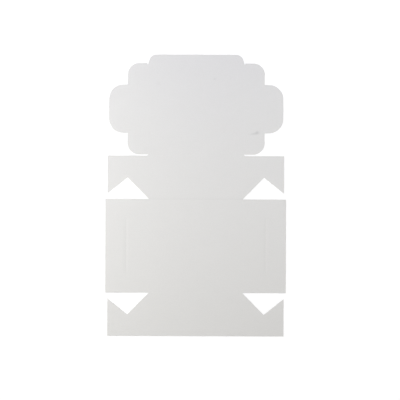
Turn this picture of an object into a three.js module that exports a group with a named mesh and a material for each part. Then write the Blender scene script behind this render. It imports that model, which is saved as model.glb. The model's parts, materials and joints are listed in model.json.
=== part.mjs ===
// A hand-folded cake box of solid white board, lying flat as the die cutter leaves it.
//
// The blank is one sheet: a base, four walls, four ears that fold round the corners,
// and a lid with two side flaps and a front lip. A pressed crease joins each panel to
// the next. Every panel is its own mesh, drawn flat on z = 0 with its inner face up,
// and hangs in a group that stands on its fold line, with +Y away from the panel that
// carries it. Folding each group by a right angle about the upper edge of that line
// closes the box.
//
// Units are millimetres. The origin is the middle of the base panel's underside, +X is
// to the right of the blank and +Y runs from the base to the lid.

import * as THREE from 'three';

// Board
const boardThickness = 0.6;

// Pressed creases: a bead stands up on the inner face over a channel in the outer face
const creaseWidth = 1.5;
const creaseGap = 0.3;
const beadHeight = 0.2;
const channelDepth = 0.15;

// The base, from fold line to fold line
const baseWidth = 228.6;
const baseDepth = 223;

// The walls: the back wall sets the height. The front wall and the ears stop a little
// short of the closed lid, and the side walls further down.
const backWallHeight = 103.6;
const frontWallDrop = 1.5;
const sideWallDrop = 4;
const sideWallEndClearance = 0.5;

// Boards that lie face to face in the closed box keep this much between them
const layerClearance = 0.3;

// Ears at both ends of the front and back walls. A notch cuts into their lower edge from
// the corner of the base, a little inside the side wall's fold line.
const earMeetingGap = 35.7;
const hookHeight = 13.4;
const notchPlay = 0.5;
const notchOvercut = 3;

// The lid and its front lip
const lipClearance = 4.5;
const lipHeight = 20.5;
const lipSideClearance = 0.7;
const lipSideSlant = 6.8;
const lipCornerRadius = 17.5;

// Lid side flaps and the tongues on them
const flapDepth = 46;
const flapBackClearance = 2;
const flapCornerRadius = 26.5;
const tongueWidth = 115;
const tongueSideSlant = 1.5;
const tongueCornerRadius = 34;
const tongueFloorGap = 13.3;

// Knife slits in the side walls, which take the ears' hooks and the lid's tongues
const slitWidth = 0.8;
const slitMargin = 7;
const slitEndClearance = 8;

// Steps in each rounded corner or bead
const arcSteps = 8;

// Sizes that follow from the ones above
const creaseZone = creaseGap + creaseWidth + creaseGap;
const layerStep = boardThickness + layerClearance;
const earFoldX = baseWidth / 2 + layerStep;
const flapFoldX = earFoldX + layerStep;
const frontWallHeight = backWallHeight - frontWallDrop;
const earHeight = frontWallHeight;
const sideWallHeight = backWallHeight - sideWallDrop;
const sideWallLength = baseDepth - 2 * sideWallEndClearance;
const slitLength = tongueWidth + 2 * slitEndClearance;
const slitHeight = backWallHeight - flapDepth - slitMargin;
const earLength = (baseDepth - earMeetingGap) / 2;
const notchRun = (baseDepth - slitLength) / 2 + notchPlay;
const notchHeight = slitHeight + notchPlay;
const notchTipX = baseWidth / 2 - notchOvercut;
const notchSlope = notchHeight / (earFoldX + notchRun - notchTipX);
const lidDepth = baseDepth - boardThickness - lipClearance;
const flapLength = lidDepth - flapBackClearance;
const tongueLength = backWallHeight - flapDepth - tongueFloorGap;

const boardColour = 0xe9e9e7;
const boardRoughness = 0.62;
const creaseColour = 0xdededb;
const creaseRoughness = 0.75;

const quarterTurn = Math.PI / 2;
const halfTurn = Math.PI;

// A group that stands on a fold line, with its +Y away from the panel that carries it
function foldGroup(parent, x, y, turn) {
  const group = new THREE.Group();
  group.position.set(x, y, 0);
  group.rotation.z = turn;
  parent.add(group);
  return group;
}

// Adds one corner of an outline, as a tangent arc where the corner has a radius
function addCorner(shape, before, corner, after) {
  const point = new THREE.Vector2(corner.x, corner.y);
  if (!corner.radius) {
    shape.lineTo(point.x, point.y);
    return;
  }
  const back = new THREE.Vector2(before.x, before.y).sub(point).normalize();
  const ahead = new THREE.Vector2(after.x, after.y).sub(point).normalize();
  const halfAngle = Math.acos(back.dot(ahead)) / 2;
  const middle = back.clone().add(ahead).normalize();
  const centre = point.clone().addScaledVector(middle, corner.radius / Math.sin(halfAngle));
  const reach = corner.radius / Math.tan(halfAngle);
  const start = point.clone().addScaledVector(back, reach);
  const end = point.clone().addScaledVector(ahead, reach);
  const startAngle = start.clone().sub(centre).angle();
  const endAngle = end.clone().sub(centre).angle();
  shape.lineTo(start.x, start.y);
  shape.absarc(centre.x, centre.y, corner.radius, startAngle, endAngle, back.cross(ahead) > 0);
}

// A closed outline through corners that may be rounded
function outlineOf(corners) {
  const shape = new THREE.Shape();
  corners.forEach((corner, index) => {
    const before = corners[(index + corners.length - 1) % corners.length];
    const after = corners[(index + 1) % corners.length];
    if (index === 0) {
      shape.moveTo(corner.x, corner.y);
    } else {
      addCorner(shape, before, corner, after);
    }
  });
  shape.closePath();
  return shape;
}

function rectangle(left, bottom, right, top) {
  return [
    { x: left, y: bottom },
    { x: right, y: bottom },
    { x: right, y: top },
    { x: left, y: top },
  ];
}

// One flat panel of board
function addPanel(group, name, outline) {
  const options = { depth: boardThickness, bevelEnabled: false, curveSegments: arcSteps };
  const material = new THREE.MeshStandardMaterial({
    color: boardColour,
    roughness: boardRoughness,
    metalness: 0,
  });
  const panel = new THREE.Mesh(new THREE.ExtrudeGeometry(outline, options), material);
  panel.name = name;
  group.add(panel);
}

// The pressed strip on the carrying panel's side of a fold line, from one x to another
function addCrease(group, name, startX, endX) {
  const near = -creaseGap;
  const far = near - creaseWidth;
  const middle = (near + far) / 2;
  const profile = new THREE.Shape();
  profile.moveTo(far, 0);
  profile.quadraticCurveTo(middle, 2 * channelDepth, near, 0);
  profile.lineTo(near, boardThickness);
  profile.quadraticCurveTo(middle, boardThickness + 2 * beadHeight, far, boardThickness);
  profile.closePath();
  const options = { depth: endX - startX, bevelEnabled: false, curveSegments: arcSteps };
  const geometry = new THREE.ExtrudeGeometry(profile, options);
  const acrossFold = new THREE.Vector3(0, 1, 0);
  const upward = new THREE.Vector3(0, 0, 1);
  const alongFold = new THREE.Vector3(1, 0, 0);
  geometry.applyMatrix4(new THREE.Matrix4().makeBasis(acrossFold, upward, alongFold));
  const material = new THREE.MeshStandardMaterial({
    color: creaseColour,
    roughness: creaseRoughness,
    metalness: 0,
  });
  const crease = new THREE.Mesh(geometry, material);
  crease.name = name;
  crease.position.x = startX;
  group.add(crease);
}

// Base panel, drawn back from its four fold lines to leave room for the creases
function addBase(box) {
  const halfWidth = baseWidth / 2 - creaseZone;
  const halfDepth = baseDepth / 2 - creaseZone;
  addPanel(box, 'base_panel', outlineOf(rectangle(-halfWidth, -halfDepth, halfWidth, halfDepth)));
}

// Side wall with its knife slit
function addSideWall(box, name, foldX, turn) {
  const group = foldGroup(box, foldX, 0, turn);
  const halfLength = sideWallLength / 2;
  const outline = outlineOf(rectangle(-halfLength, 0, halfLength, sideWallHeight));
  const slitBottom = slitHeight - slitWidth / 2;
  const slitTop = slitHeight + slitWidth / 2;
  outline.holes.push(outlineOf(rectangle(-slitLength / 2, slitBottom, slitLength / 2, slitTop)));
  addPanel(group, name, outline);
  const creaseHalf = baseDepth / 2 - creaseZone;
  addCrease(group, `${name}_crease`, -creaseHalf, creaseHalf);
}

// How high above the wall's fold line the notch's near edge is, at a distance from the
// middle of the wall
function notchRise(x) {
  return (x - notchTipX) * notchSlope;
}

// Ear with the notch that leaves a hook at its far end. The group's +Y runs along the
// ear, and up is +1 or -1, whichever way along its X the wall rises from the base.
function addEar(wall, name, foldX, turn, up, creaseTop) {
  const group = foldGroup(wall, foldX, 0, turn);
  const rootHeight = notchRise(earFoldX);
  addPanel(group, name, outlineOf([
    { x: up * rootHeight, y: 0 },
    { x: up * notchHeight, y: notchRun },
    { x: up * hookHeight, y: earLength },
    { x: up * earHeight, y: earLength },
    { x: up * earHeight, y: 0 },
  ]));
  const creaseEnds = [up * rootHeight, up * creaseTop];
  addCrease(group, `${name}_crease`, Math.min(...creaseEnds), Math.max(...creaseEnds));
}

// Front or back wall with an ear at each end. The notches cut off its lower corners. It
// returns the wall's group.
function addEaredWall(box, name, foldY, turn, height, earNames) {
  const group = foldGroup(box, 0, foldY, turn);
  const halfWidth = earFoldX - creaseZone;
  const cornerRise = notchRise(halfWidth);
  addPanel(group, name, outlineOf([
    { x: -notchTipX, y: 0 },
    { x: notchTipX, y: 0 },
    { x: halfWidth, y: cornerRise },
    { x: halfWidth, y: height },
    { x: -halfWidth, y: height },
    { x: -halfWidth, y: cornerRise },
  ]));
  const creaseHalf = baseWidth / 2 - creaseGap;
  addCrease(group, `${name}_crease`, -creaseHalf, creaseHalf);
  addEar(group, earNames.atMinusX, -earFoldX, quarterTurn, 1, height);
  addEar(group, earNames.atPlusX, earFoldX, -quarterTurn, -1, height);
  return group;
}

// Lid side flap with its tongue, from the lip fold back to just short of the back wall
function addLidFlap(lid, name, foldX, turn, frontward) {
  const group = foldGroup(lid, foldX, lidDepth / 2, turn);
  const front = frontward * lidDepth / 2;
  const back = front - frontward * flapLength;
  const middle = (front + back) / 2;
  const rootHalf = frontward * tongueWidth / 2;
  const tipHalf = rootHalf - frontward * tongueSideSlant;
  const tongueEnd = flapDepth + tongueLength;
  const tipRadius = Math.min(tongueCornerRadius, tongueLength);
  addPanel(group, name, outlineOf([
    { x: back, y: 0 },
    { x: back, y: flapDepth, radius: flapCornerRadius },
    { x: middle - rootHalf, y: flapDepth },
    { x: middle - tipHalf, y: tongueEnd, radius: tipRadius },
    { x: middle + tipHalf, y: tongueEnd, radius: tipRadius },
    { x: middle + rootHalf, y: flapDepth },
    { x: front, y: flapDepth, radius: flapCornerRadius },
    { x: front, y: 0 },
  ]));
  const creaseEnds = [back, front - frontward * creaseZone];
  addCrease(group, `${name}_crease`, Math.min(...creaseEnds), Math.max(...creaseEnds));
}

// Lip that tucks down inside the front wall
function addLip(lid) {
  const group = foldGroup(lid, 0, lidDepth, 0);
  const rootHalf = baseWidth / 2 - lipSideClearance;
  const edgeHalf = rootHalf - lipSideSlant;
  addPanel(group, 'lid_front_lip', outlineOf([
    { x: -rootHalf, y: 0 },
    { x: rootHalf, y: 0 },
    { x: edgeHalf, y: lipHeight, radius: lipCornerRadius },
    { x: -edgeHalf, y: lipHeight, radius: lipCornerRadius },
  ]));
  addCrease(group, 'lid_front_lip_crease', -rootHalf, rootHalf);
}

// Lid panel with its flaps and lip, hung from the top of the back wall
function addLid(backWall) {
  const lid = foldGroup(backWall, 0, backWallHeight, 0);
  const halfWidth = flapFoldX - creaseZone;
  const frontEdge = lidDepth - creaseZone;
  addPanel(lid, 'lid_panel', outlineOf(rectangle(-halfWidth, 0, halfWidth, frontEdge)));
  const creaseHalf = earFoldX - creaseGap;
  addCrease(lid, 'lid_panel_crease', -creaseHalf, creaseHalf);
  addLidFlap(lid, 'lid_left_flap', -flapFoldX, quarterTurn, 1);
  addLidFlap(lid, 'lid_right_flap', flapFoldX, -quarterTurn, -1);
  addLip(lid);
}

const cakeBox = new THREE.Group();
addBase(cakeBox);
addSideWall(cakeBox, 'left_wall', -baseWidth / 2, quarterTurn);
addSideWall(cakeBox, 'right_wall', baseWidth / 2, -quarterTurn);
addEaredWall(cakeBox, 'front_wall', -baseDepth / 2, halfTurn, frontWallHeight, {
  atMinusX: 'front_right_ear',
  atPlusX: 'front_left_ear',
});
const backWall = addEaredWall(cakeBox, 'back_wall', baseDepth / 2, 0, backWallHeight - creaseZone, {
  atMinusX: 'back_left_ear',
  atPlusX: 'back_right_ear',
});
addLid(backWall);

export default cakeBox;
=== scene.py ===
"""The flat blank of a hand-folded cake box in white board, seen from straight above.

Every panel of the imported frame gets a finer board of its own, with rounded die-cut
edges, and every fold line gets a pressed crease that bends as its panel folds up.
Lengths are metres, in the frame's own place: +X right, +Y from the base to the lid,
and the inner face of the board up.
"""
import json
import math
from collections import namedtuple

import bmesh
import bpy
from mathutils import Matrix, Vector, geometry, noise
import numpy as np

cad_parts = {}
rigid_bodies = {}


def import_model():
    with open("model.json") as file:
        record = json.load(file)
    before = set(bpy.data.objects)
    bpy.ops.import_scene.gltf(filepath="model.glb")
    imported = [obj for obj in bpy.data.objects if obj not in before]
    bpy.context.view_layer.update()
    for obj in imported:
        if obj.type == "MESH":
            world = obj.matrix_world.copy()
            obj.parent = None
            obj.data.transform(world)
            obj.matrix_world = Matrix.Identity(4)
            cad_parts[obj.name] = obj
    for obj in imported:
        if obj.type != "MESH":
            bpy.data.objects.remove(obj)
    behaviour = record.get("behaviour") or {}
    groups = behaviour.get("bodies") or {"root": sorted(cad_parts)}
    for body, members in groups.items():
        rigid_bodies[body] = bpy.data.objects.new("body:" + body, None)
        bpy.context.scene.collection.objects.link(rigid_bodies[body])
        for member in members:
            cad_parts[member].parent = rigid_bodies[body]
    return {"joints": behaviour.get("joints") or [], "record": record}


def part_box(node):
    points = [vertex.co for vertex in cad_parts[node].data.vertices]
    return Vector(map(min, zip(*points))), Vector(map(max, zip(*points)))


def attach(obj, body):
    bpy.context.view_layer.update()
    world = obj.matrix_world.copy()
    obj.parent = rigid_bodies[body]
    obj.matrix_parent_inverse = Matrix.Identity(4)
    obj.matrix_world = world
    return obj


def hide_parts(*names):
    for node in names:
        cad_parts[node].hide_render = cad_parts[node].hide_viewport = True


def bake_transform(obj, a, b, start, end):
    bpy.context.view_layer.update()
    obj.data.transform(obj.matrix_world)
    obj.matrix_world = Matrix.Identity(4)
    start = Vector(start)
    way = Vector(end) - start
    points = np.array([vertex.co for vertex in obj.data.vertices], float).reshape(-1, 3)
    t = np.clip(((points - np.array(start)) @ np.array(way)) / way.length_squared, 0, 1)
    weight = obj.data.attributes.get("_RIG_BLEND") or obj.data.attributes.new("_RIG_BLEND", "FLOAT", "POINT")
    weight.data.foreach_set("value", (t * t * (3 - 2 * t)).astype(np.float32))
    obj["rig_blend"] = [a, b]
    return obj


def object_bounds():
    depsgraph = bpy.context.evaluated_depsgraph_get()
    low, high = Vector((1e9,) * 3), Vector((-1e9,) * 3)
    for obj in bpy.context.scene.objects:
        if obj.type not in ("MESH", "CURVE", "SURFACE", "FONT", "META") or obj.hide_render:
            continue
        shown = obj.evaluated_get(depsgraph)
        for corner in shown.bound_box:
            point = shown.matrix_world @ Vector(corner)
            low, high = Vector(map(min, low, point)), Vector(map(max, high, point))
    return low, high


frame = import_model()
cad_low, cad_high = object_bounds()

MM = 0.001

# The board and its fold lines, read from the frame. Its underside lies at z = 0.
BOARD_LOW, BOARD_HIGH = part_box("base_panel")
THICKNESS = BOARD_HIGH.z - BOARD_LOW.z
JOINTS = {joint["name"]: joint for joint in frame["joints"]}
SIDE_FOLD_X = JOINTS["right_wall_fold"]["pos_m"][0]
EAR_FOLD_X = JOINTS["back_right_ear_fold"]["pos_m"][0]
WALL_FOLD_Y = JOINTS["back_wall_fold"]["pos_m"][1]
LID_FOLD_Y = JOINTS["lid_fold"]["pos_m"][1]

# Lid side flaps with their tongues, and the lid's lip
FLAP_DEPTH = 46 * MM
FLAP_RADIUS = 26.5 * MM
TONGUE_WIDTH = 115 * MM
TONGUE_SLANT = 1.5 * MM
TONGUE_RADIUS = 34 * MM
LIP_SLANT = 6.8 * MM
LIP_RADIUS = 17.5 * MM

# Knife slits in the side walls, wider than the tongues, and below the flaps' edges in the
# closed box
SLIT_WIDTH = 0.06 * MM
SLIT_END_CLEARANCE = 8 * MM
SLIT_MARGIN = 7 * MM
SLIT_LENGTH = TONGUE_WIDTH + 2 * SLIT_END_CLEARANCE
SLIT_RISE = LID_FOLD_Y - WALL_FOLD_Y - FLAP_DEPTH - SLIT_MARGIN
SLIT_X = SIDE_FOLD_X + SLIT_RISE

# Notches that free the ears' hooks, from a tip inside the side walls' fold lines to an apex
# that comes to the slit's end once the ear is folded
HOOK_HEIGHT = 13.4 * MM
NOTCH_PLAY = 0.5 * MM
NOTCH_OVERCUT = 3 * MM
NOTCH_TIP_X = SIDE_FOLD_X - NOTCH_OVERCUT
NOTCH_APEX_X = EAR_FOLD_X + (WALL_FOLD_Y - SLIT_LENGTH / 2) + NOTCH_PLAY
NOTCH_HEIGHT = SLIT_RISE + NOTCH_PLAY

# Die-cut edges: how they are rounded, and bands (inset, crush) along them where the board
# is a little crushed. A slit's bands reach further, to carry the dip beside it.
EDGE_RADIUS = 0.1 * MM
EDGE_ANGLES = [math.radians(angle) for angle in (0, 30, 60, 90)]
EDGE_BANDS = [(2.4 * MM, 0.0), (1.2 * MM, 0.5)]
SLIT_EDGE_RADIUS = 0.03 * MM
SLIT_BANDS = [(9 * MM, 0.0), (6 * MM, 0.0), (4 * MM, 0.0), (2.4 * MM, 0.0), (1.2 * MM, 0.2)]

# The knife pressed the board down along each slit. Beside it, painted shade on the left and
# painted light on the right, as the dip shows under light from the left: (painted shading,
# reach) to the left and to the right of the slit, painted light below zero
SLIT_DIP = 0.17 * MM
SLIT_DIP_REACH = 2.4 * MM
PAINTED_SLIT_SHADING = {
    "left_wall": ((0.22, 9 * MM), (-0.36, 5.5 * MM)),
    "right_wall": ((0.2, 6 * MM), (-0.14, 8 * MM)),
}

# Pressed creases: a bead on the inner face over a channel in the outer face, and the strip
# beside the fold line that bends
BEAD_WIDTH = 1.5 * MM
BEAD_HEIGHT = 0.06 * MM
CHANNEL_DEPTH = 0.12 * MM
BEND_WIDTH = 0.7 * MM
BEAD_STEPS = 12
BEND_STEPS = 8

# Creases that end elsewhere than their CAD nodes do, so that they meet at the corners:
# (start, end) along the fold
WALL_ENDS = [corner.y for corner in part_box("left_wall")]
BASE_SIDES = [BOARD_LOW.x, BOARD_HIGH.x]
CREASE_ENDS = {
    "left_wall_crease": WALL_ENDS,
    "right_wall_crease": WALL_ENDS,
    "front_wall_crease": BASE_SIDES,
    "back_wall_crease": BASE_SIDES,
    "lid_panel_crease": [-EAR_FOLD_X, EAR_FOLD_X],
}

# Painted shading of the creases: painted shade along the back wall's crease and on the back
# wall beside its fold, and painted light along the other creases, which evens out the shade
# of their beads. A crease below zero is lighter than the board round it.
PAINTED_CREASE_LIGHT = -0.15
PAINTED_CREASE_SHADE = 0.55
PAINTED_WALL_SHADE = 0.33
PAINTED_WALL_SHADE_REACH = 3 * MM

# Marks that the photograph shows: soft-edged ellipses, turned from the X axis. The tone is
# 1 where the mark is as dark as MARK_LOSS makes it.
Mark = namedtuple("Mark", "x y half_length half_width turn dent tone")
MARKS = {
    "lid_right_flap": [
        Mark(138.0 * MM, 266.6 * MM, 9.5 * MM, 2.4 * MM, 0.12, 0.1 * MM, 1.0),
        Mark(144.3 * MM, 269.4 * MM, 4.6 * MM, 3.4 * MM, 0.3, 0.14 * MM, 1.1),
    ],
    "lid_panel": [
        Mark(43.4 * MM, 396.0 * MM, 3.0 * MM, 2.2 * MM, 0.3, 0.05 * MM, 0.55),
        Mark(-89.6 * MM, 384.8 * MM, 4.4 * MM, 4.0 * MM, 0.0, 0.05 * MM, 0.2),
    ],
}

# How far the board lies off dead flat, the size of its waves, and the slice and the gain of
# the noise that they follow
WAVE_HEIGHT = 0.1 * MM
WAVE_LENGTH = 75 * MM
WAVE_SLICE = 0.37
WAVE_GAIN = 1.6

# Mesh steps. A mark has its finer mesh out to MARK_REACH of its half length, and an inner
# point keeps a share of its step clear of the outlines.
BOARD_STEP = 12 * MM
MARK_STEP = 1.4 * MM
MARK_REACH = 2.6
CLEARANCE_SHARE = 0.3
ARC_STEP = math.radians(6)
SHARP_ANGLE = math.radians(30)

# Points as near as this are one, edges that turn by less than this run straight on, and a
# triangle under this share of its side's square has no area worth a face
MERGE = 0.001 * MM
FILL_MERGE = MERGE / 10
PARALLEL = 1e-6
SLIVER_SHARE = 1e-4

# The kind of fill that gives every triangle out to the convex hull
ALL_TRIANGLES = 0

# Material slots of each mesh
INNER_FACE, OUTER_FACE, CUT_EDGE = 0, 1, 2

# Grain of the paper: the size of its cells along X, Y and Z, the noise's detail and
# roughness, and the values that it runs between as the noise goes through its range
Grain = namedtuple("Grain", "cell detail roughness low high")
NOISE_RANGE = (0.3, 0.7)
CLOUDS = Grain((39.2 * MM, 28 * MM, 28 * MM), 2.0, 0.6, 0.996, 1.004)
FORMATION = Grain((4.16 * MM, 3.2 * MM, 3.2 * MM), 3.0, 0.6, 0.99, 1.008)
MOTTLE = Grain((1.12 * MM, 0.7 * MM, 0.7 * MM), 2.0, 0.6, 0.982, 1.016)
FIBRES = Grain((0.48 * MM, 0.2 * MM, 0.2 * MM), 4.0, 0.6, 0.955, 1.04)
PLIES = Grain((2.5 * MM, 2.5 * MM, MM / 9), 3.0, 0.65, 0.88, 1.04)
FUZZ = Grain((0.4 * MM, 0.4 * MM, 0.4 * MM), 3.0, 0.6, 0.95, 1.03)

# The coated faces. The outer one is a little glossier: the gloss is a grain of roughness.
INNER_COLOUR = (0.756, 0.75, 0.73)
OUTER_COLOUR = (0.77, 0.766, 0.75)
GLOSS_CELL = (2.2 * MM, 1.1 * MM, 1.1 * MM)
INNER_GLOSS = Grain(GLOSS_CELL, 2.0, 0.6, 0.62, 0.74)
OUTER_GLOSS = Grain(GLOSS_CELL, 2.0, 0.6, 0.42, 0.52)
INNER_FIBRE_BUMP = 0.6
OUTER_FIBRE_BUMP = 0.35
FIBRE_HEIGHT = 0.02 * MM
COATING_IOR = 1.45

# Dark fibre specks: one to a cell, fading between two radii that are shares of the cell
SPECK_CELL = (17 * MM, 17 * MM, 17 * MM)
SPECK_SHARES = (0.008, 0.02)
SPECK_LOSS = 0.2

# The tone that the board loses where the mesh says that it is crushed or marked, and where it carries
# painted shade (painted light where negative) at the creases, the back wall and the slits
CRUSH_LOSS = 0.02
PAINTED_SHADING_LOSS = 0.09
MARK_LOSS = 0.13

# The cut edge
CUT_COLOUR = (0.7, 0.68, 0.63)
CUT_BUMP = 0.5
CUT_HEIGHT = 0.05 * MM
CUT_ROUGHNESS = 0.92
CUT_IOR = 1.4

# The floor lights the board as plain white would. The camera sees it as a grey that takes
# the shadow, plus a glow that grows between two distances from the base's middle.
FLOOR_SIZE = 8.0
FLOOR_DROP = 0.05 * MM
FLOOR_WHITE = (0.8, 0.8, 0.8, 1)
FLOOR_SHADED = (0.22, 0.22, 0.22, 1)
GLOW_DISTANCES = (0.35, 1.8)
GLOW_STRENGTHS = (0.83, 1.0)

# Light: (offset from the blank's middle, side, watts, colour) of each lamp, and the world
PURE_WHITE = (1, 1, 1, 1)
WORLD_COLOUR = (1.0, 0.97, 0.97, 1)
WORLD_STRENGTH = 0.257
LAMPS = {
    "key_lamp": ((-1.12, 0.21, 1.01), 0.6, 16.69, (0.992, 1.0, 0.984)),
    "front_lamp": ((-0.12, -1.2, 2.4), 0.8, 8.6, (1.0, 0.978, 0.942)),
    "fill_lamp": ((1.14, 0.32, 0.5), 0.5, 6.28, (0.956, 0.986, 1.0)),
    "back_lamp": ((0.0, 0.9, 0.5), 0.5, 0.6, (0.033, 0.083, 1.0)),
}

# Camera: its lens and sensor in millimetres, and where the picture shows the blank
BLANK_MIDDLE = (cad_low + cad_high) / 2
BLANK_TILT = math.radians(0.24)
BLANK_MIDDLE_PIXEL = (195.9, 195.45)
PIXEL = 2.37 * MM
IMAGE_SIDE = 400
CAMERA_LENS = 85.0
CAMERA_SENSOR = 36.0


# Waves, marks and wear


def clamp(value, low, high):
    """The value, kept from low to high."""
    return max(low, min(high, value))


def lift(x, y):
    """How far the board stands off the floor at rest: slow waves, and a dip at each slit."""
    swell = noise.noise(Vector((x / WAVE_LENGTH, y / WAVE_LENGTH, WAVE_SLICE)))
    wave = WAVE_HEIGHT * (0.5 + 0.5 * clamp(WAVE_GAIN * swell, -1.0, 1.0))
    from_slit_end = max(0.0, abs(y) - SLIT_LENGTH / 2)
    from_slit = math.hypot(abs(x) - SLIT_X, from_slit_end) / SLIT_DIP_REACH
    return wave + SLIT_DIP * (1 - math.exp(-from_slit))


def marks_at(marks, x, y):
    """(dent, tone) of the marks at a point."""
    dent, tone = 0.0, 0.0
    for mark in marks:
        right, up = x - mark.x, y - mark.y
        along = right * math.cos(mark.turn) + up * math.sin(mark.turn)
        across = up * math.cos(mark.turn) - right * math.sin(mark.turn)
        falloff = math.exp(-((along / mark.half_length) ** 2) - (across / mark.half_width) ** 2)
        dent += mark.dent * falloff
        tone += mark.tone * falloff
    return dent, tone


def painted_shading_at(node, x, y):
    """Painted shading of a panel's face: painted shade on the back wall above its fold, and painted shade
    and light to either side of a slit.
    """
    if node == "back_wall":
        return PAINTED_WALL_SHADE * max(0.0, 1 - (y - WALL_FOLD_Y) / PAINTED_WALL_SHADE_REACH)
    if node in PAINTED_SLIT_SHADING and abs(y) <= SLIT_LENGTH / 2:
        from_slit = x - math.copysign(SLIT_X, x)
        left, right = PAINTED_SLIT_SHADING[node]
        painted_shading, reach = right if from_slit > 0 else left
        return painted_shading * max(0.0, 1 - (from_slit / reach) ** 2)
    return 0.0


# Outlines


def rounded(corners):
    """A loop of (point, free) from (x, y, radius, free) corners. free is true where the
    edge that starts at the point is die-cut, and false where a crease goes on from it."""
    loop = []
    for index, (x, y, radius, free) in enumerate(corners):
        corner = Vector((x, y))
        if not radius:
            loop.append((corner, free))
            continue
        back = (Vector(corners[index - 1][:2]) - corner).normalized()
        ahead = (Vector(corners[(index + 1) % len(corners)][:2]) - corner).normalized()
        half = math.acos(back.dot(ahead)) / 2
        centre = corner + (back + ahead).normalized() * radius / math.sin(half)
        start = corner + back * radius / math.tan(half) - centre
        sweep = math.pi - 2 * half
        turn = 1 if ahead.cross(back) > 0 else -1
        steps = math.ceil(sweep / ARC_STEP)
        for step in range(steps + 1):
            spoke = Matrix.Rotation(turn * sweep * step / steps, 2) @ start
            loop.append((centre + spoke, step < steps or free))
    return loop


def divided(loop):
    """The loop with its long edges cut into steps, so that they follow the board's waves."""
    fine = []
    for index, (point, free) in enumerate(loop):
        following = loop[(index + 1) % len(loop)][0]
        parts = max(1, round((following - point).length / BOARD_STEP))
        fine += [(point.lerp(following, part / parts), free) for part in range(parts)]
    return fine


def turned(loop, anticlockwise):
    """The loop in the asked direction. Material lies on the left of every edge."""
    points = [point for point, _ in loop]
    area = sum(point.cross(after) for point, after in zip(points, points[1:] + points[:1]))
    if (area > 0) == anticlockwise:
        return loop
    # The other way round, a point starts the edge that led to it
    points.reverse()
    edges = [free for _, free in reversed(loop)]
    return list(zip(points, edges[1:] + edges[:1]))


def inset(loop, distance, seams_too):
    """The loop's points moved inwards by distance from its die-cut edges, and from its
    seams if seams_too."""
    moved = []
    for index, (point, free) in enumerate(loop):
        before, free_before = loop[index - 1]
        after = loop[(index + 1) % len(loop)][0]
        edge_in, edge_out = (point - before).normalized(), (after - point).normalized()
        side_in, side_out = Vector((-edge_in.y, edge_in.x)), Vector((-edge_out.y, edge_out.x))
        move_in, move_out = distance * (free_before or seams_too), distance * (free or seams_too)
        cross = side_in.x * side_out.y - side_in.y * side_out.x
        if abs(cross) < PARALLEL:
            moved.append(point + side_in * max(move_in, move_out))
            continue
        moved.append(point + Vector((
            (move_in * side_out.y - move_out * side_in.y) / cross,
            (move_out * side_in.x - move_in * side_out.x) / cross,
        )))
    return moved


def notch_edge(x):
    """How far from the middle of the base the notches' near edge is at x, along Y."""
    slope = NOTCH_HEIGHT / (NOTCH_APEX_X - NOTCH_TIP_X)
    return WALL_FOLD_Y + (abs(x) - NOTCH_TIP_X) * slope


def holds(points, x, y):
    """True if the closed outline goes round (x, y)."""
    inside = False
    for index, point in enumerate(points):
        other = points[index - 1]
        if (point.y > y) != (other.y > y):
            if x < point.x + (y - point.y) * (other.x - point.x) / (other.y - point.y):
                inside = not inside
    return inside


def on_board(outlines, spot):
    """True inside the first outline and outside the others."""
    return holds(outlines[0], spot.x, spot.y) and not any(
        holds(outline, spot.x, spot.y) for outline in outlines[1:]
    )


def gap_to(points, spot):
    """The distance from spot to a closed outline. An edge of no length counts as a point."""
    nearest = math.inf
    for index, point in enumerate(points):
        start = points[index - 1]
        edge = point - start
        share = clamp((spot - start).dot(edge) / (edge.length_squared or 1.0), 0.0, 1.0)
        nearest = min(nearest, (start + edge * share - spot).length)
    return nearest


def grid(low, high, step):
    """The middles of about step-wide cells between two corners."""
    counts = [max(1, round((high[axis] - low[axis]) / step)) for axis in (0, 1)]
    return [
        Vector((
            low[0] + (high[0] - low[0]) * (column + 0.5) / counts[0],
            low[1] + (high[1] - low[1]) * (row + 0.5) / counts[1],
        ))
        for column in range(counts[0])
        for row in range(counts[1])
    ]


def near_mark(mark, spot):
    """True in the square round a mark that has the finer mesh, and one step beyond."""
    reach = MARK_REACH * mark.half_length + MARK_STEP
    return max(abs(spot.x - mark.x), abs(spot.y - mark.y)) <= reach


def inner_points(outlines, marks):
    """Points inside the first outline and outside the others, closer together at a mark."""
    spots = []
    for mark in marks:
        reach = MARK_REACH * mark.half_length
        low = (mark.x - reach, mark.y - reach)
        high = (mark.x + reach, mark.y + reach)
        spots += [(spot, MARK_STEP) for spot in grid(low, high, MARK_STEP)]
    low = [min(point[axis] for point in outlines[0]) for axis in (0, 1)]
    high = [max(point[axis] for point in outlines[0]) for axis in (0, 1)]
    for spot in grid(low, high, BOARD_STEP):
        if not any(near_mark(mark, spot) for mark in marks):
            spots.append((spot, BOARD_STEP))
    return [
        spot
        for spot, step in spots
        if on_board(outlines, spot)
        and min(gap_to(outline, spot) for outline in outlines) > CLEARANCE_SHARE * step
    ]


# Meshes


def edge_profile(radius, bands):
    """Steps round a die-cut edge, from the inner face to the outer: (inset, z, crush).
    The steps at the bands' distances are flat, and lie along the seams too."""
    steps = [(band, 0.0, crush) for band, crush in bands]
    for angle in EDGE_ANGLES:
        steps.append((radius * (1 - math.sin(angle)), radius * (1 - math.cos(angle)), 1.0))
    upper = [(across, THICKNESS - down, crush) for across, down, crush in steps]
    lower = [(across, down, crush) for across, down, crush in reversed(steps)]
    return upper + lower


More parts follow.
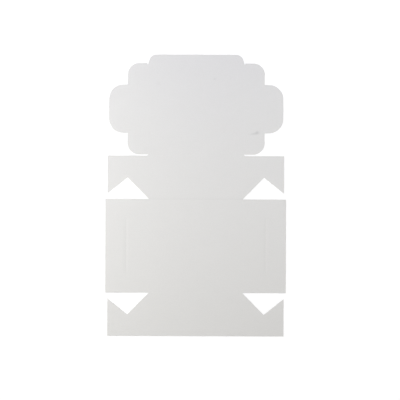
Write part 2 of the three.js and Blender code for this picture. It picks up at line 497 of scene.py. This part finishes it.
def add_edge(bm, loop, profile):
    """Rings of points round a die-cut edge, with the faces between them."""
    crush_layer = bm.verts.layers.float["crush"]
    rings = []
    for across, height, crush in profile:
        points = inset(loop, across, across > EDGE_RADIUS)
        ring = [bm.verts.new((point.x, point.y, height)) for point in points]
        for index, vert in enumerate(ring):
            vert[crush_layer] = crush * (loop[index][1] or loop[index - 1][1])
        rings.append(ring)
    for upper, lower in zip(rings, rings[1:]):
        material = CUT_EDGE
        if upper[0].co.z == lower[0].co.z:
            material = INNER_FACE if upper[0].co.z > THICKNESS / 2 else OUTER_FACE
        for index in range(len(upper)):
            quad = (upper[index - 1], upper[index], lower[index], lower[index - 1])
            bm.faces.new(quad).material_index = material
    return rings


def fill(bm, rings, spots, height, material):
    """Triangles across one face of a panel, between its rings and through the inner points."""
    verts = [vert for ring in rings for vert in ring]
    verts += [bm.verts.new((spot.x, spot.y, height)) for spot in spots]
    edges, offset = [], 0
    for ring in rings:
        edges += [(offset + i, offset + (i + 1) % len(ring)) for i in range(len(ring))]
        offset += len(ring)
    flat = [vert.co.xy for vert in verts]
    result = geometry.delaunay_2d_cdt(flat, edges, [], ALL_TRIANGLES, FILL_MERGE, True)
    places, triangles, sources = result[0], result[2], result[3]
    outlines = [[vert.co.xy for vert in ring] for ring in rings]
    for triangle in triangles:
        first, second, third = (places[corner] for corner in triangle)
        least_area = SLIVER_SHARE * (third - first).length_squared
        if geometry.area_tri(first, second, third) < least_area:
            continue
        if not on_board(outlines, (first + second + third) / 3):
            continue
        corners = dict.fromkeys(verts[sources[corner][0]] for corner in triangle)
        if len(corners) == 3:
            bm.faces.new(tuple(corners)).material_index = material


def add_piece(name, bm, node):
    """Shades the edges, makes the object and lets it stand for its CAD node."""
    bmesh.ops.remove_doubles(bm, verts=bm.verts, dist=MERGE)
    bmesh.ops.dissolve_degenerate(bm, edges=bm.edges, dist=MERGE)
    bmesh.ops.recalc_face_normals(bm, faces=bm.faces)
    for face in bm.faces:
        face.smooth = True
    for edge in bm.edges:
        materials = {face.material_index for face in edge.link_faces}
        if len(materials) > 1 or edge.calc_face_angle(0.0) > SHARP_ANGLE:
            edge.smooth = False
    mesh = bpy.data.meshes.new(name)
    bm.to_mesh(mesh)
    bm.free()
    for material in BOARD_MATERIALS:
        mesh.materials.append(material)
    piece = bpy.data.objects.new(name, mesh)
    bpy.context.scene.collection.objects.link(piece)
    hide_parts(node)
    return piece


def node_body(node):
    """The body that carries a CAD node."""
    bodies = frame["record"]["behaviour"]["bodies"]
    return next(body for body, nodes in bodies.items() if node in nodes)


def board(node, outline, slits=()):
    """A panel of board with die-cut edges, in place of its CAD node."""
    marks = MARKS.get(node, [])
    bm = bmesh.new()
    # press carries painted shade and light
    for name in ("crush", "mark_tone", "press"):
        bm.verts.layers.float.new(name)
    edge_loop = turned(divided(rounded(outline)), True)
    cuts = [add_edge(bm, edge_loop, edge_profile(EDGE_RADIUS, EDGE_BANDS))]
    for slit in slits:
        slit_loop = turned(divided(rounded(slit)), False)
        cuts.append(add_edge(bm, slit_loop, edge_profile(SLIT_EDGE_RADIUS, SLIT_BANDS)))
    inner_rings = [rings[0] for rings in cuts]
    outer_rings = [rings[-1] for rings in cuts]
    spots = inner_points([[vert.co.xy for vert in ring] for ring in inner_rings], marks)
    fill(bm, inner_rings, spots, THICKNESS, INNER_FACE)
    fill(bm, outer_rings, spots, 0.0, OUTER_FACE)
    mark_tone_layer = bm.verts.layers.float["mark_tone"]
    painted_shading_layer = bm.verts.layers.float["press"]
    for vert in bm.verts:
        if vert.co.z > THICKNESS / 2:
            dent, tone = marks_at(marks, vert.co.x, vert.co.y)
            # The board is darker over each mark, softly to its edges
            vert[mark_tone_layer] = tone
            # Painted shade and light by the back wall's fold and beside the slits
            vert[painted_shading_layer] = painted_shading_at(node, vert.co.x, vert.co.y)
            vert.co.z -= dent
        vert.co.z += lift(vert.co.x, vert.co.y)
    piece = add_piece(f"board_{node}", bm, node)
    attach(piece, node_body(node))


def bead_at(across):
    """The rounded section of the bead and channel, from 0 at their edges to 1."""
    return 0.5 + 0.5 * math.cos(math.pi * clamp(2 * across / BEAD_WIDTH, -1.0, 1.0))


def crease_steps(width):
    """Places across a crease, from its far edge to the fold line at 0."""
    bead = [-width + (width - BEND_WIDTH) * i / BEAD_STEPS for i in range(BEAD_STEPS)]
    bend = [-BEND_WIDTH + BEND_WIDTH * i / BEND_STEPS for i in range(BEND_STEPS + 1)]
    return bead + bend


def join_rows(bm, rows):
    """The faces of a crease. A row runs along its inner face and back along its outer one."""
    count = len(rows[0])
    far_side, near_side = count - 1, count // 2 - 1
    for first, second in zip(rows, rows[1:]):
        for index in range(count):
            following = (index + 1) % count
            quad = (first[index], first[following], second[following], second[index])
            face = bm.faces.new(quad)
            face.material_index = INNER_FACE if index < near_side else OUTER_FACE
            if index in (near_side, far_side):
                face.material_index = CUT_EDGE
    for row in (rows[0], rows[-1]):
        bm.faces.new(row).material_index = CUT_EDGE


def crease(node, joint_name, outward, painted_shading=PAINTED_CREASE_LIGHT, notched=0):
    """The pressed strip between a panel and the one that folds on it. outward points
    across the fold to the second, and the third argument is the crease's painted shade, or
    painted light where it is below zero. notched is 1 or -1 where the strip's lower or upper
    end lies on the edge of a notch."""
    joint = JOINTS[joint_name]
    low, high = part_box(node)
    outward = Vector(outward)
    along = Vector((abs(outward.y), abs(outward.x)))
    fold = outward * outward.dot(Vector(joint["pos_m"][:2]))
    width = 2 * (fold - (low.xy + high.xy) / 2).dot(outward)
    start, end = CREASE_ENDS.get(node, (low.xy.dot(along), high.xy.dot(along)))
    bm = bmesh.new()
    painted_shading_layer = bm.verts.layers.float.new("press")

    def add_point(share, across, upper):
        """A point of the strip, at a share of its length."""
        point = fold + outward * across
        first = notch_edge(point.x) if notched > 0 else start
        last = -notch_edge(point.x) if notched < 0 else end
        point += along * (first + (last - first) * share)
        press = bead_at(across + width / 2)
        height = THICKNESS + BEAD_HEIGHT * press if upper else CHANNEL_DEPTH * press
        vert = bm.verts.new((point.x, point.y, height + lift(point.x, point.y)))
        # Painted shade, or painted light below zero, along the crease
        vert[painted_shading_layer] = painted_shading * press
        return vert

    steps = crease_steps(width)
    section = [(across, True) for across in steps]
    section += [(across, False) for across in reversed(steps)]
    slices = max(2, round((end - start) / BOARD_STEP) + 1)
    shares = [index / (slices - 1) for index in range(slices)]
    join_rows(bm, [[add_point(share, *place) for place in section] for share in shares])
    piece = add_piece(f"fold_{node}", bm, node)
    bend_start = fold - outward * BEND_WIDTH
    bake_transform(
        piece,
        joint["parent"],
        joint["child"],
        start=(bend_start.x, bend_start.y, THICKNESS),
        end=(fold.x, fold.y, THICKNESS),
    )


# Materials


def new_material(name):
    """A material with a node tree."""
    material = bpy.data.materials.new(name)
    material.use_nodes = True
    return material


def add_node(tree, kind, **values):
    """A shader node, with attributes and unlinked inputs set by name."""
    node = tree.nodes.new(kind)
    for name, value in values.items():
        if hasattr(node, name):
            setattr(node, name, value)
        else:
            node.inputs[name.replace("_", " ")].default_value = value
    return node


def ranged(tree, value, before, after, clamped=True):
    """The value mapped from the range (low, high) before to the one after."""
    node = add_node(
        tree,
        "ShaderNodeMapRange",
        clamp=clamped,
        From_Min=before[0],
        From_Max=before[1],
        To_Min=after[0],
        To_Max=after[1],
    )
    tree.links.new(value, node.inputs["Value"])
    return node.outputs["Result"]


def in_cells(tree, coordinates, cell):
    """Coordinates that count cells of the given size along X, Y and Z."""
    mapping = add_node(tree, "ShaderNodeMapping", Scale=[1 / side for side in cell])
    tree.links.new(coordinates, mapping.inputs["Vector"])
    return mapping.outputs["Vector"]


def noise_tone(tree, coordinates, grain):
    """Noise that follows a grain."""
    texture = add_node(
        tree, "ShaderNodeTexNoise", Scale=1.0, Detail=grain.detail, Roughness=grain.roughness
    )
    tree.links.new(in_cells(tree, coordinates, grain.cell), texture.inputs["Vector"])
    return ranged(tree, texture.outputs["Fac"], NOISE_RANGE, (grain.low, grain.high))


def speck_tone(tree, coordinates):
    """Sparse dark fibre specks."""
    texture = add_node(tree, "ShaderNodeTexVoronoi", Scale=1.0)
    tree.links.new(in_cells(tree, coordinates, SPECK_CELL), texture.inputs["Vector"])
    return ranged(tree, texture.outputs["Distance"], SPECK_SHARES, (1.0 - SPECK_LOSS, 1.0))


def wear_and_painted_shade(tree, attribute, loss):
    """A tone of 1 that falls by loss where the mesh attribute is 1, and rises where it is
    negative."""
    reader = add_node(tree, "ShaderNodeAttribute", attribute_name=attribute)
    return ranged(tree, reader.outputs["Fac"], (0.0, 1.0), (1.0, 1.0 - loss), clamped=False)


def product(tree, values):
    """The product of several values."""
    result = values[0]
    for value in values[1:]:
        node = add_node(tree, "ShaderNodeMath", operation="MULTIPLY")
        tree.links.new(result, node.inputs[0])
        tree.links.new(value, node.inputs[1])
        result = node.outputs["Value"]
    return result


def tinted(tree, colour, tone):
    """The colour times a grey tone."""
    scale = add_node(tree, "ShaderNodeVectorMath", operation="SCALE")
    scale.inputs[0].default_value = colour
    tree.links.new(tone, scale.inputs["Scale"])
    return scale.outputs["Vector"]


def bump(tree, height, strength, distance):
    """A bump from a height value."""
    node = add_node(tree, "ShaderNodeBump", Strength=strength, Distance=distance)
    tree.links.new(height, node.inputs["Height"])
    return node.outputs["Normal"]


def paper_material(name, colour, gloss, fibre_bump):
    """Clay-coated board: cloudy formation, fine fibres, specks, crushed edges, marks, and painted shade and
    light along the creases and beside the slits.
    """
    material = new_material(name)
    tree = material.node_tree
    shader = tree.nodes["Principled BSDF"]
    coordinates = add_node(tree, "ShaderNodeTexCoord").outputs["Object"]
    fibres = noise_tone(tree, coordinates, FIBRES)
    tone = product(tree, [
        noise_tone(tree, coordinates, CLOUDS),
        noise_tone(tree, coordinates, FORMATION),
        noise_tone(tree, coordinates, MOTTLE),
        fibres,
        speck_tone(tree, coordinates),
        wear_and_painted_shade(tree, "crush", CRUSH_LOSS),
        # Painted shade and light of the creases, the back wall and the slits
        wear_and_painted_shade(tree, "press", PAINTED_SHADING_LOSS),
        wear_and_painted_shade(tree, "mark_tone", MARK_LOSS),
    ])
    roughness = noise_tone(tree, coordinates, gloss)
    normal = bump(tree, fibres, fibre_bump, FIBRE_HEIGHT)
    tree.links.new(tinted(tree, colour, tone), shader.inputs["Base Color"])
    tree.links.new(roughness, shader.inputs["Roughness"])
    tree.links.new(normal, shader.inputs["Normal"])
    shader.inputs["IOR"].default_value = COATING_IOR
    return material


def cut_edge_material(name):
    """The cut edge, where the plies of grey-cream fibre show between the two coatings."""
    material = new_material(name)
    tree = material.node_tree
    shader = tree.nodes["Principled BSDF"]
    coordinates = add_node(tree, "ShaderNodeTexCoord").outputs["Object"]
    plies = noise_tone(tree, coordinates, PLIES)
    tone = product(tree, [plies, noise_tone(tree, coordinates, FUZZ)])
    tree.links.new(tinted(tree, CUT_COLOUR, tone), shader.inputs["Base Color"])
    tree.links.new(bump(tree, tone, CUT_BUMP, CUT_HEIGHT), shader.inputs["Normal"])
    shader.inputs["Roughness"].default_value = CUT_ROUGHNESS
    shader.inputs["IOR"].default_value = CUT_IOR
    return material


BOARD_MATERIALS = [
    paper_material("board_inner_face", INNER_COLOUR, INNER_GLOSS, INNER_FIBRE_BUMP),
    paper_material("board_outer_face", OUTER_COLOUR, OUTER_GLOSS, OUTER_FIBRE_BUMP),
    cut_edge_material("board_cut_edge"),
]


# Panels


def add_rectangle(node):
    """A panel with four square corners, whose four sides go on into creases."""
    low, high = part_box(node)
    board(node, [
        (low.x, low.y, 0, False),
        (high.x, low.y, 0, False),
        (high.x, high.y, 0, False),
        (low.x, high.y, 0, False),
    ])


def add_side_wall(node, side):
    """A side wall, with the knife slit that takes the hooks and the tongue."""
    low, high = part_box(node)
    fold, edge = (high.x, low.x) if side < 0 else (low.x, high.x)
    slit_near = side * (SLIT_X - SLIT_WIDTH / 2)
    slit_far = side * (SLIT_X + SLIT_WIDTH / 2)
    slit_end = SLIT_LENGTH / 2
    board(
        node,
        [
            (fold, low.y, 0, True),
            (edge, low.y, 0, True),
            (edge, high.y, 0, True),
            (fold, high.y, 0, False),
        ],
        slits=[[
            (slit_near, -slit_end, 0, True),
            (slit_far, -slit_end, 0, True),
            (slit_far, slit_end, 0, True),
            (slit_near, slit_end, 0, True),
        ]],
    )


def add_ear(node, side, end):
    """A corner ear. side is -1 on the left, and end is -1 on the front wall."""
    low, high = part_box(node)
    fold, edge = (high.x, low.x) if side < 0 else (low.x, high.x)
    top = low.y if end < 0 else high.y
    base_line = end * WALL_FOLD_Y
    board(node, [
        (fold, end * notch_edge(fold), 0, True),
        (side * NOTCH_APEX_X, base_line + end * NOTCH_HEIGHT, 0, True),
        (edge, base_line + end * HOOK_HEIGHT, 0, True),
        (edge, top, 0, True),
        (fold, top, 0, False),
    ])


def add_eared_wall(node, end, free_top):
    """The front or back wall, with its lower corners cut off by the notches."""
    low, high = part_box(node)
    near, far = end * WALL_FOLD_Y, (low.y if end < 0 else high.y)
    corner = end * notch_edge(high.x)
    board(node, [
        (-NOTCH_TIP_X, near, 0, False),
        (NOTCH_TIP_X, near, 0, True),
        (high.x, corner, 0, False),
        (high.x, far, 0, free_top),
        (low.x, far, 0, False),
        (low.x, corner, 0, True),
    ])


def add_flap(node, side):
    """A lid side flap with its round-cornered tongue."""
    low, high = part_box(node)
    fold, tongue_end = (high.x, low.x) if side < 0 else (low.x, high.x)
    flap_edge = fold + side * FLAP_DEPTH
    middle = (low.y + high.y) / 2
    root, tip = TONGUE_WIDTH / 2, TONGUE_WIDTH / 2 - TONGUE_SLANT
    board(node, [
        (fold, low.y, 0, True),
        (flap_edge, low.y, FLAP_RADIUS, True),
        (flap_edge, middle - root, 0, True),
        (tongue_end, middle - tip, TONGUE_RADIUS, True),
        (tongue_end, middle + tip, TONGUE_RADIUS, True),
        (flap_edge, middle + root, 0, True),
        (flap_edge, high.y, FLAP_RADIUS, True),
        (fold, high.y, 0, False),
    ])


def add_lip():
    """The front lip, a little narrower at its edge."""
    low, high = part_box("lid_front_lip")
    board("lid_front_lip", [
        (low.x, low.y, 0, False),
        (high.x, low.y, 0, True),
        (high.x - LIP_SLANT, high.y, LIP_RADIUS, True),
        (low.x + LIP_SLANT, high.y, LIP_RADIUS, True),
    ])


def add_side(side, word):
    """What lies left or right of the base, the walls and the lid. side is -1 on the left."""
    add_side_wall(f"{word}_wall", side)
    add_flap(f"lid_{word}_flap", side)
    add_ear(f"front_{word}_ear", side, -1)
    add_ear(f"back_{word}_ear", side, 1)
    for name, notched in (
        (f"{word}_wall", 0),
        (f"lid_{word}_flap", 0),
        (f"front_{word}_ear", -1),
        (f"back_{word}_ear", 1),
    ):
        crease(f"{name}_crease", f"{name}_fold", (side, 0), notched=notched)


UP, DOWN = (0, 1), (0, -1)
add_rectangle("base_panel")
add_eared_wall("front_wall", -1, True)
add_eared_wall("back_wall", 1, False)
add_rectangle("lid_panel")
add_lip()
add_side(-1, "left")
add_side(1, "right")
crease("front_wall_crease", "front_wall_fold", DOWN)
# The back wall's crease is painted darker: painted shade along the fold
crease("back_wall_crease", "back_wall_fold", UP, painted_shading=PAINTED_CREASE_SHADE)
crease("lid_panel_crease", "lid_fold", UP)
crease("lid_front_lip_crease", "lid_front_lip_fold", UP)


# Floor, light and camera


def camera_ray_mask(tree):
    """1 for rays that the camera sees, directly or in gloss and glass, and 0 for light."""
    path = add_node(tree, "ShaderNodeLightPath")
    mask = path.outputs["Is Camera Ray"]
    for name in ("Is Glossy Ray", "Is Transmission Ray"):
        highest = add_node(tree, "ShaderNodeMath", operation="MAXIMUM")
        tree.links.new(mask, highest.inputs[0])
        tree.links.new(path.outputs[name], highest.inputs[1])
        mask = highest.outputs["Value"]
    return mask


def seen_or_lit(tree, lit, seen, output):
    """Gives the output one shader for the light and another for the camera."""
    mixed = add_node(tree, "ShaderNodeMixShader")
    tree.links.new(camera_ray_mask(tree), mixed.inputs["Fac"])
    tree.links.new(lit, mixed.inputs[1])
    tree.links.new(seen, mixed.inputs[2])
    tree.links.new(mixed.outputs["Shader"], tree.nodes[output].inputs["Surface"])


def ground_glow(tree):
    """How much the floor glows for the camera: less by the blank, where shadows fall."""
    coordinates = add_node(tree, "ShaderNodeTexCoord").outputs["Object"]
    distance = add_node(tree, "ShaderNodeVectorMath", operation="LENGTH")
    tree.links.new(coordinates, distance.inputs[0])
    return ranged(tree, distance.outputs["Value"], GLOW_DISTANCES, GLOW_STRENGTHS)


def add_floor():
    """A plain white floor that keeps the shadow."""
    bpy.ops.mesh.primitive_plane_add(size=FLOOR_SIZE, location=(0.0, 0.0, -FLOOR_DROP))
    floor = bpy.context.object
    floor.name = "floor"
    material = new_material("floor_white")
    tree = material.node_tree
    tree.nodes.remove(tree.nodes["Principled BSDF"])
    white = add_node(tree, "ShaderNodeBsdfDiffuse", Color=FLOOR_WHITE)
    shaded = add_node(tree, "ShaderNodeBsdfDiffuse", Color=FLOOR_SHADED)
    glow = add_node(tree, "ShaderNodeEmission", Color=PURE_WHITE)
    tree.links.new(ground_glow(tree), glow.inputs["Strength"])
    seen = add_node(tree, "ShaderNodeAddShader")
    tree.links.new(shaded.outputs["BSDF"], seen.inputs[0])
    tree.links.new(glow.outputs["Emission"], seen.inputs[1])
    seen_or_lit(tree, white.outputs["BSDF"], seen.outputs["Shader"], "Material Output")
    floor.data.materials.append(material)


def add_world():
    """Even light from all round, with a white ground behind it."""
    world = bpy.data.worlds.new("studio")
    bpy.context.scene.world = world
    world.use_nodes = True
    tree = world.node_tree
    light = tree.nodes["Background"]
    light.inputs["Color"].default_value = WORLD_COLOUR
    light.inputs["Strength"].default_value = WORLD_STRENGTH
    ground = add_node(tree, "ShaderNodeBackground", Color=PURE_WHITE, Strength=1.0)
    seen = ground.outputs["Background"]
    seen_or_lit(tree, light.outputs["Background"], seen, "World Output")


def add_lamp(name, offset, size, watts, colour):
    """A soft square lamp at an offset from the blank's middle, aimed at it."""
    data = bpy.data.lights.new(name, "AREA")
    data.size = size
    data.energy = watts
    data.color = colour
    lamp = bpy.data.objects.new(name, data)
    lamp.location = BLANK_MIDDLE + Vector(offset)
    lamp.rotation_euler = Vector(offset).to_track_quat("Z", "Y").to_euler()
    bpy.context.scene.collection.objects.link(lamp)


def add_camera():
    """Straight above, turned and moved as the photograph frames the blank."""
    data = bpy.data.cameras.new("camera")
    data.lens = CAMERA_LENS
    data.sensor_width = CAMERA_SENSOR
    camera = bpy.data.objects.new("camera", data)
    half_side = IMAGE_SIDE / 2
    pixel_x, pixel_y = BLANK_MIDDLE_PIXEL
    from_middle = Vector((half_side - pixel_x, pixel_y - half_side)) * PIXEL
    from_middle.rotate(Matrix.Rotation(BLANK_TILT, 2))
    height = half_side * PIXEL / (CAMERA_SENSOR / 2 / CAMERA_LENS)
    camera.location = (
        BLANK_MIDDLE.x + from_middle.x,
        BLANK_MIDDLE.y + from_middle.y,
        THICKNESS + height,
    )
    camera.rotation_euler = (0.0, 0.0, BLANK_TILT)
    bpy.context.scene.collection.objects.link(camera)
    bpy.context.scene.camera = camera


add_floor()
add_world()
for name, lamp in LAMPS.items():
    add_lamp(name, *lamp)
add_camera()
bpy.context.scene.view_settings.view_transform = "Standard"
